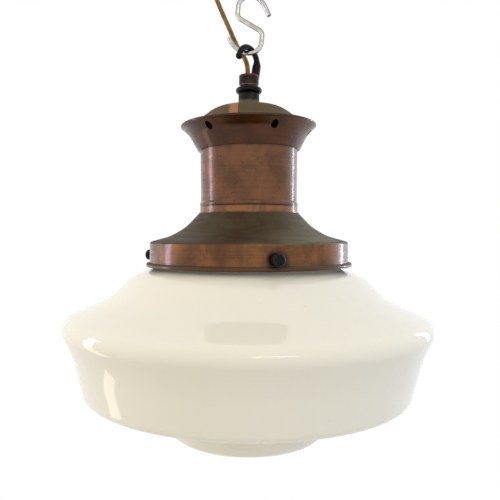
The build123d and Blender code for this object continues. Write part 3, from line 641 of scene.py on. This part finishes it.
# %% Copper gallery
DOME_TOP = -89.591
RIM = DOME_TOP - 20.9
CUP_FOOT = RIM - 20.2
NECK_HEIGHT = 43.8
BEAD_TOP = CUP_FOOT - NECK_HEIGHT
BEAD_FOOT = BEAD_TOP - 3.5
TRUMPET_TOP = BEAD_FOOT - 6.4
SKIRT_TOP = TRUMPET_TOP - 23.9
SKIRT_FOOT = SKIRT_TOP - 19.0
SHEET = 0.9
TUBE_R = 5.1
RIM_R = 57.1
SKIRT_R = 83.7
NECK_TOP_R, NECK_FOOT_R, BAND_R, NECK_BORE = 41.4, 40.9, 41.6, 40.0
NECK_LOW, NECK_HIGH = BEAD_FOOT - 8.6, CUP_FOOT + 9.0


def dented(depth, seed):
    """Old soft metal: low waves in the radius and height that never grow past the true size."""
    rng = np.random.default_rng(seed)
    waves = [(int(n), rng.uniform(0.02, 0.12), rng.uniform(0, 6.3)) for n in rng.integers(2, 9, 6)]

    def move(r, z, a):
        w = sum(np.cos(n * a + k * z + p) for n, k, p in waves) / len(waves)
        return r - depth * (w + 1) / 2, z
    return move


dome_skin = rounded([(TUBE_R, DOME_TOP - 1.6), (11.0, DOME_TOP - 1.8), (30.0, DOME_TOP - 5.6),
                     (46.5, RIM + 3.0), (RIM_R, RIM + 1.2)], [20, 24, 18], 0.5)
tilted = leaning(-0.7, CUP_FOOT, 0.988)
dome = spun("dome_lid", [wall(dome_skin, SHEET)], dome_copper, wave=dented(0.2, 3), place=tilted)
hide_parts("dome_cap")

neck_line = [(NECK_TOP_R, NECK_HIGH), (NECK_TOP_R, CUP_FOOT)]
for t in np.linspace(0, 1, 24)[1:]:
    neck_line.append((NECK_TOP_R + (NECK_FOOT_R - NECK_TOP_R) * t, CUP_FOOT - NECK_HEIGHT * t))
for t in np.linspace(0, 1, 14)[1:]:
    bead = 0.55 * math.sin(math.pi * t)
    neck_line.append((NECK_FOOT_R + (BAND_R - NECK_FOOT_R) * t + bead,
                      BEAD_TOP + (BEAD_FOOT - BEAD_TOP) * t))
neck_line += [(BAND_R, z) for z in np.linspace(BEAD_FOOT, NECK_LOW, 8)[1:]]
neck_line += [(NECK_BORE, NECK_LOW)]
neck_line += [(NECK_BORE, z) for z in np.linspace(NECK_LOW, NECK_HIGH, 12)[1:]]
neck = spun("neck_tube_skin", [np.array(neck_line)], neck_copper, wave=dented(0.25, 8), sharp=28)
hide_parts("neck_tube")

gallery_skin = rounded([(42.6, TRUMPET_TOP + 0.8), (42.6, TRUMPET_TOP), (53.5, TRUMPET_TOP - 11.6),
                        (66.0, TRUMPET_TOP - 19.0), (SKIRT_R, SKIRT_TOP), (SKIRT_R, SKIRT_FOOT)],
                       [0.6, 35, 40, 2.6], 0.5)
skirt_roll = circle_section(1.8, (85.0, SKIRT_FOOT))
gallery = spun("trumpet_and_skirt", [wall(gallery_skin, SHEET), skirt_roll], gallery_copper, segments=288,
               wave=dented(0.15, 5))
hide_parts("trumpet_gallery")

# %% [markdown]
# ## The vented cup
#
# Six holes let the lamp's heat out under the rim. They are drilled, so each is cut here by a
# round bar that points outwards. The rim's wire and the flange at the foot are one more piece.

# %% Vented cup
VENTS = 6
VENT_R = 3.0
FIRST_VENT = 23


def radial_rod(radius, near, far, turn, z, around):
    """A closed round bar from one radius to another at a plan turn from the front."""
    t = math.radians(turn)
    way = np.array([math.sin(t), -math.cos(t), 0.0])
    return tube_arrays([way * near + [0, 0, z], way * far + [0, 0, z]], radius, around)


CUP_FOOT_R = 43.9
FLANGE_IN_R = 41.5
cup_skin = rounded([(57.6, RIM - 0.6), (51.0, RIM - 7.3), (CUP_FOOT_R, CUP_FOOT)], [14], 0.5)
cup_wall = spun("cup_wall", [wall(cup_skin, SHEET)], cup_copper, body=None, segments=240, place=tilted)
vent_turns = [FIRST_VENT + 360 / VENTS * k for k in range(VENTS)]
bars = joined(*[radial_rod(VENT_R, 42, 60, turn, RIM - 6.0, 40) for turn in vent_turns])
cutter = outward(make_object("vent_cutter", *bars, body=None))
cut = cup_wall.modifiers.new("vents", "BOOLEAN")
cut.operation = "DIFFERENCE"
cut.object = cutter
cut.solver = "EXACT"
depsgraph = bpy.context.evaluated_depsgraph_get()
cut_mesh = bpy.data.meshes.new_from_object(cup_wall.evaluated_get(depsgraph))
cup_wall.modifiers.clear()
cup_wall.data = cut_mesh
bpy.data.objects.remove(cutter)
cup_wall.data.set_sharp_from_angle(angle=math.radians(35))
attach(cup_wall, "lamp")
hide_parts("vent_collar")
flange = [(FLANGE_IN_R, CUP_FOOT), (CUP_FOOT_R, CUP_FOOT), (CUP_FOOT_R, CUP_FOOT + SHEET),
          (FLANGE_IN_R, CUP_FOOT + SHEET)]
cup_rim = spun("cup_rim_wire", [circle_section(1.2, (RIM_R, RIM)), flange], cup_copper, segments=240,
               place=tilted)
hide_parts("vent_collar")
print("cup corners", len(cup_wall.data.vertices))

# %% [markdown]
# ## Hook, boss and locknut
#
# The hook is a small iron casting: a round bar bent over in an arch that ends in a ball, thick
# where it grows out of its boss. It is screwed on a tube and locked by a round nut with a
# bulging rim, above a plain turned boss that stands on the dome.

# %% Iron pieces
CROWN = -42.091
CROWN_TO_BOSS = 24.0
BOSS_TOP = CROWN - CROWN_TO_BOSS
BOSS_FOOT = BOSS_TOP - 8.1
COLLAR_TOP = BOSS_FOOT - 2.5
COLLAR_FOOT = COLLAR_TOP - 5.0
LEAN = math.radians(12)
ARCH_R = 11.5
ARCH_TURN = math.radians(49)
ROD_R = 2.45
BALL_R = 3.0

left_arch = turtle([("turn", ARCH_R, 80)], heading=180, step=0.4)
right_arch = turtle([("turn", ARCH_R, -102)], heading=0, step=0.4)
root_drop = right_arch[-1, 1] + CROWN_TO_BOSS + 1.0
root_way = np.array([-math.sin(LEAN), -math.cos(LEAN)])
root_run = right_arch[-1] + np.outer(np.linspace(0, root_drop / math.cos(LEAN), 30)[1:], root_way)
arch = np.vstack([left_arch[::-1], right_arch[1:], root_run])
height = -arch[:, 1]
rise = np.clip((height - 8.0) / 7.0, 0, 1) * (np.arange(len(arch)) > len(left_arch))
thick = ROD_R + 1.3 * rise * rise * (3 - 2 * rise)
arch_x, arch_y = math.cos(ARCH_TURN), math.sin(ARCH_TURN)
arch_path = np.column_stack([-0.7 + arch[:, 0] * arch_x, arch[:, 0] * arch_y, CROWN + arch[:, 1]])
polar = np.linspace(0, math.pi, 24)
ball = BALL_R * np.column_stack([np.sin(polar), np.cos(polar)])
ball[[0, -1], 0] = 0
ball_v, ball_q, ball_t = lathe_arrays(ball, 32, False)
hook_arrays = joined(tube_arrays(arch_path, thick, 36), (ball_v + arch_path[0], ball_q, ball_t))
hook = outward(make_object("iron_hook", *hook_arrays, hook_iron.material))


def brown_boss():
    """Brown iron, rubbed red at its top edge, with dust in the groove over the locknut."""
    f = cast_iron("brown cast iron", "231b16", "4a2c20", rough=0.5)
    height, top, foot = f.parts[2], BOSS_TOP * MM, BOSS_FOOT * MM
    rubbed = f.ramp(height, top - 0.0022, top - 0.0004)
    groove = f.math("MULTIPLY", f.ramp(height, foot - 0.0012, foot - 0.0004),
                    f.ramp(height, foot - 0.0002, foot + 0.0006, 1.0, 0.0))
    tone = f.mix(f.colour, linear("7a4230"), f.math("MULTIPLY", rubbed, 0.8))
    f.set(Base_Color=f.mix(tone, linear("6b6358"), f.math("MULTIPLY", groove, 0.7)))
    return f.material


HOOK_BOSS_R = 8.4
GROOVE_R = 7.9
GROOVE_FOOT = COLLAR_TOP + 0.1
boss_skin = rounded([(0, BOSS_TOP), (HOOK_BOSS_R, BOSS_TOP), (HOOK_BOSS_R, BOSS_FOOT), (GROOVE_R, BOSS_FOOT),
                     (GROOVE_R, GROOVE_FOOT), (0, GROOVE_FOOT)], [0.8, 0.5, 0.12, 0.3], 0.25)
boss_skin[[0, -1], 0] = 0
boss = spun("hook_boss", [boss_skin], brown_boss(), segments=96)
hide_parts("suspension_hook")
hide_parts("suspension_hook")

collar_middle, collar_half = (COLLAR_TOP + COLLAR_FOOT) / 2, (COLLAR_TOP - COLLAR_FOOT) / 2
collar_rim = [(9.0 + 2.2 * math.sqrt(max(0, 1 - t * t)), collar_middle - collar_half * t)
              for t in np.linspace(-1, 1, 20)]
collar = spun("round_locknut", [[(TUBE_R, COLLAR_TOP)] + collar_rim + [(TUBE_R, COLLAR_FOOT)]],
              collar_iron.material, segments=96)
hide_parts("collar_locknut")


def dusty_boss():
    """Black iron with dust gathered round its foot."""
    f = cast_iron("dusty boss iron", "1d1b1a", "37312a", rough=0.55)
    foot_dust = f.ramp(f.parts[2], -0.0905, -0.0868, 1.0, 0.0)
    f.set(Base_Color=f.mix(f.colour, linear("6a5e46"), foot_dust))
    return f.material


ENTRY_TOP = COLLAR_FOOT - 0.02
ENTRY_FOOT = COLLAR_FOOT - 8.5
ENTRY_END = DOME_TOP - 1.8
entry_skin = rounded([(TUBE_R, ENTRY_TOP), (8.9, ENTRY_TOP), (8.9, ENTRY_FOOT), (9.8, ENTRY_FOOT),
                      (10.05, ENTRY_END), (TUBE_R, ENTRY_END)], [0.8, 0.3, 0.25, 0.1], 0.25)
entry = spun("turned_boss", [entry_skin], dusty_boss(), segments=96)
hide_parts("entry_boss")

# %% [markdown]
# ## S-hook
#
# A length of galvanised wire, 4 mm thick, bent to an S. The lower half is the upper one turned
# by half a turn about the middle, but for its lip, which is shorter. The ends are cut square.

# %% S-hook
S_WIRE_R = 2.0
S_CENTRE = -22.495
S_TURN = math.radians(-16)

bends = [("go", 9.9), ("turn", 6.0, -61), ("go", 4.9), ("turn", 9.4, -85)]
lower_half = turtle(bends + [("turn", 17.7, -32), ("turn", 25.7, -36)], heading=-34, step=0.35)
upper_half = turtle(bends + [("turn", 14.0, -48), ("turn", 25.7, -18), ("go", 8.0)], heading=-34, step=0.35)
both = np.vstack([-upper_half[::-1], lower_half[1:]])
s_path = np.column_stack([0.8 + both[:, 0] * math.cos(S_TURN), both[:, 0] * math.sin(S_TURN),
                          S_CENTRE + both[:, 1]])
s_arrays = tube_arrays(s_path, S_WIRE_R, 40)
s_hook = outward(make_object("s_hook_wire", *s_arrays, wire_zinc, body="s_hook"))
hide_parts("s_hook")

# %% [markdown]
# ## Thumbscrews
#
# Three short screws with fluted round heads are turned in by hand until their points hold the
# shade's neck. The flutes are 24 shallow scoops, and both edges of the head are chamfered.

# %% Thumbscrews
SCREW_Z = SKIRT_TOP - 12.0
SCREW_R = 2.0
SCREWS = 3
FIRST_SCREW = 13.0
FLUTES = 24
FLUTE_DEPTH = 0.3
HEAD_NEAR = 86.7


def fluted_head(turn, z):
    """A round bar whose radius is R - d |cos(n a / 2)|^3 with n flutes, chamfered and dished."""
    a = np.linspace(0, 2 * math.pi, 192, endpoint=False)
    flute = FLUTE_DEPTH * np.abs(np.cos(FLUTES / 2 * a)) ** 3
    along = np.array([0, 0, 0.25, 1.1, 1.4, 4.8, 8.2, 8.5, 9.35, 9.6, 9.6, 9.35])
    across = np.array([0.5, 3.3, 3.7, 4.5, 4.6, 4.6, 4.6, 4.5, 3.75, 3.4, 2.6, 2.3])
    cut_in = np.array([0, 0, 0, 0.7, 1, 1, 1, 0.7, 0, 0, 0, 0])
    r = across[:, None] - cut_in[:, None] * flute[None, :]
    t = math.radians(turn)
    way = np.array([math.sin(t), -math.cos(t), 0.0])
    side, up = np.array([math.cos(t), math.sin(t), 0.0]), np.array([0.0, 0.0, 1.0])
    spokes = side[None, None] * np.cos(a)[None, :, None] + up[None, None] * np.sin(a)[None, :, None]
    verts = (way * (HEAD_NEAR + along)[:, None])[:, None, :] + spokes * r[:, :, None] + up * z
    rows, cols = r.shape
    verts = verts.reshape(-1, 3)
    quads = grid_faces(rows, cols, False)
    tris = end_fans(len(verts), cols, (rows - 1) * cols)
    middles = [way * HEAD_NEAR + up * z, way * (HEAD_NEAR + along[-1]) + up * z]
    return np.vstack([verts, *middles]), quads, tris


for k in range(SCREWS):
    turn = FIRST_SCREW + 360.0 / SCREWS * k
    screw_arrays = joined(fluted_head(turn, SCREW_Z), radial_rod(SCREW_R, 76.8, 87.2, turn, SCREW_Z, 32))
    screw = outward(make_object(f"fluted_thumbscrew_{k + 1}", *screw_arrays, screw_black.material,
                                body=f"thumbscrew_{k + 1}"))
    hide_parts(f"thumbscrew_{k + 1}")

# %% [markdown]
# ## Golden flex
#
# A round two-core flex with a golden sheath leaves the boss beside the hook's root, bends back
# and to the left, and rises out of the view to the ceiling, which holds it. It is a curve through
# the same points as the solid, given its real thickness.

# %% Flex
FLEX_DIAMETER = 0.0041
FLEX_POINTS = [
    (-0.00099, 0.00099, -0.065091), (-0.00099, 0.00099, -0.060091), (-0.0018, 0.0023, -0.0553),
    (-0.0035, 0.0050, -0.0501), (-0.0064, 0.0085, -0.0448), (-0.0098, 0.0110, -0.0386),
    (-0.0131, 0.0129, -0.0310), (-0.0166, 0.0144, -0.0224), (-0.0204, 0.0156, -0.0136),
    (-0.0242, 0.0166, -0.0048), (-0.0278, 0.0174, 0.0042), (-0.0310, 0.0180, 0.0132),
    (-0.0336, 0.0184, 0.0222), (-0.0356, 0.0187, 0.0310),
]
curve = bpy.data.curves.new("golden_flex", "CURVE")
curve.dimensions = "3D"
strand = curve.splines.new("NURBS")
strand.points.add(len(FLEX_POINTS) - 1)
for point, place in zip(strand.points, FLEX_POINTS):
    point.co = (*place, 1.0)
strand.order_u = 3
strand.use_endpoint_u = True
strand.resolution_u = 10
curve.bevel_depth = FLEX_DIAMETER / 2
curve.bevel_resolution = 6
curve.use_fill_caps = True
curve.materials.append(sheath)
flex = bpy.data.objects.new("golden_flex", curve)
bpy.context.scene.collection.objects.link(flex)
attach(flex, "lamp")
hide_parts("flex_cord")

# %% [markdown]
# ## The pieces that stay as they are
#
# The tapped bushes, the grub screw and everything inside the copper keep the frame's own exact
# surfaces and only get their finish.

# %% Finishes of the frame's own pieces
FINISHES = {
    "galvanised_wire": wire_zinc, "black_iron": hook_iron.material, "dark_steel": nut_steel,
    "blackened_steel": screw_black.material, "aged_copper": neck_copper, "brass": holder_brass,
    "bush_plastic": bush_plastic, "opal_glass": opal, "clear_glass": bulb_glass, "porcelain": porcelain,
    "black_insulator": insulator, "solder": solder, "tungsten": tungsten, "spring_steel": spring_steel,
    "flex_sheath": sheath, "core_sheath": core_sheath, "bare_copper": bare_copper,
}
slots = {s["node"]: s.get("material_slot", s["node"]) for s in frame["record"]["subparts"]}
for node, obj in frame["nodes"].items():
    finish = bush_black.material if node == "screw_bushes" else FINISHES[slots[node]]
    obj.data.materials.clear()
    obj.data.materials.append(finish)

# %% [markdown]
# ## Light
#
# The lamp hangs in a pale room, warmer on the left and darker below. A tall window on each side
# draws an upright streak on the copper: a near one on the left, whose light is slightly lilac
# on the metal, and a cooler one behind on the right. A low warm door lies under the left one,
# and a wide shallow window in front shows as a soft pane in the glass. The camera, mirrored rays
# and rays that come through clear glass see plain white behind the lamp.

# %% World and lamps
scene = bpy.context.scene
world = bpy.data.worlds.new("room")
scene.world = world
world.use_nodes = True
wt = world.node_tree
wt.nodes.clear()
w_out = wt.nodes.new("ShaderNodeOutputWorld")


def world_node(kind, inputs=None, **props):
    """Add a node to the world, set its properties, and set or link its inputs."""
    n = wt.nodes.new(kind)
    for key, value in props.items():
        setattr(n, key, value)
    for key, value in (inputs or {}).items():
        if isinstance(value, bpy.types.NodeSocket):
            wt.links.new(value, n.inputs[key])
        else:
            n.inputs[key].default_value = value
    return n


way = world_node("ShaderNodeSeparateXYZ", {0: world_node("ShaderNodeTexCoord").outputs["Generated"]}).outputs
side = world_node("ShaderNodeMapRange", {"Value": way[0], "From Min": -0.8, "From Max": 0.8}).outputs[0]
walls = world_node("ShaderNodeMix", {0: side, 6: linear("f6ecce"), 7: linear("e9eff2")},
                   data_type="RGBA").outputs[2]
level = world_node("ShaderNodeMapRange", {"Value": way[2], "From Min": -1.0, "From Max": 0.15, "To Min": 0.5,
                                          "To Max": 1.08}).outputs[0]
room = world_node("ShaderNodeBackground", {"Color": walls, "Strength": level})
white = world_node("ShaderNodeBackground", {"Color": (1, 1, 1, 1), "Strength": 1.0})
rays = world_node("ShaderNodeLightPath").outputs
seen = rays["Is Camera Ray"]
for kind in ("Is Glossy Ray", "Is Transmission Ray"):
    seen = world_node("ShaderNodeMath", {0: seen, 1: rays[kind]}, operation="MAXIMUM").outputs[0]
choose = world_node("ShaderNodeMixShader", {0: seen, 1: room.outputs[0], 2: white.outputs[0]})
wt.links.new(choose.outputs[0], w_out.inputs[0])

CENTRE = np.array([0.0, 0.0, -0.21])
WINDOW_DISTANCE = 1.6


def window(name, turn, rise, width, tall, glow, colour):
    """A flat lamp that looks at the object from a turn to the right of the front and a rise.

    Its glow is its brightness, 1 being white, so its power is glow * pi * its area.
    """
    t, e = math.radians(turn), math.radians(rise)
    way = np.array([math.sin(t) * math.cos(e), -math.cos(t) * math.cos(e), math.sin(e)])
    data = bpy.data.lights.new(name, "AREA")
    data.shape = "RECTANGLE"
    data.size, data.size_y = width, tall
    data.energy = glow * math.pi * width * tall
    data.color = linear(colour)[:3]
    lamp = bpy.data.objects.new(name, data)
    lamp.location = CENTRE + way * WINDOW_DISTANCE
    x = np.cross([0.0, 0.0, 1.0], way)
    x /= np.linalg.norm(x)
    y = np.cross(way, x)
    lamp.matrix_world = Matrix([*np.column_stack([x, y, way, lamp.location]), (0, 0, 0, 1)])
    scene.collection.objects.link(lamp)


window("left window", turn=-100, rise=6, width=0.26, tall=0.8, glow=10.0, colour="ccd2ff")
window("left door", turn=-101, rise=-20, width=0.26, tall=0.9, glow=1.9, colour="fff6e4")
window("right window", turn=128, rise=6, width=0.15, tall=0.8, glow=15.0, colour="bcd8ff")
window("front window", turn=14, rise=21, width=0.7, tall=0.08, glow=9.0, colour="ffffff")

# %% [markdown]
# ## Camera
#
# The camera is level, about half a metre in front of the lamp, with its eye line just above the
# middle of the picture. Being so near, it sees the rims as ellipses and looks up under the cup.

# %% Camera
SENSOR = 36.0
PICTURE_WIDTH = 500.0
FOCAL_PIXELS = 577.0
camera_data = bpy.data.cameras.new("camera")
camera_data.sensor_width = SENSOR
camera_data.lens = FOCAL_PIXELS / PICTURE_WIDTH * SENSOR
camera_data.shift_x = 0.0022
camera_data.shift_y = -0.0288
camera_data.clip_start = 0.01
camera = bpy.data.objects.new("camera", camera_data)
camera.location = (0.0, -0.494, -0.2031)
camera.rotation_euler = (math.radians(90), 0, 0)
scene.collection.objects.link(camera)
scene.camera = camera
scene.view_settings.view_transform = "Standard"
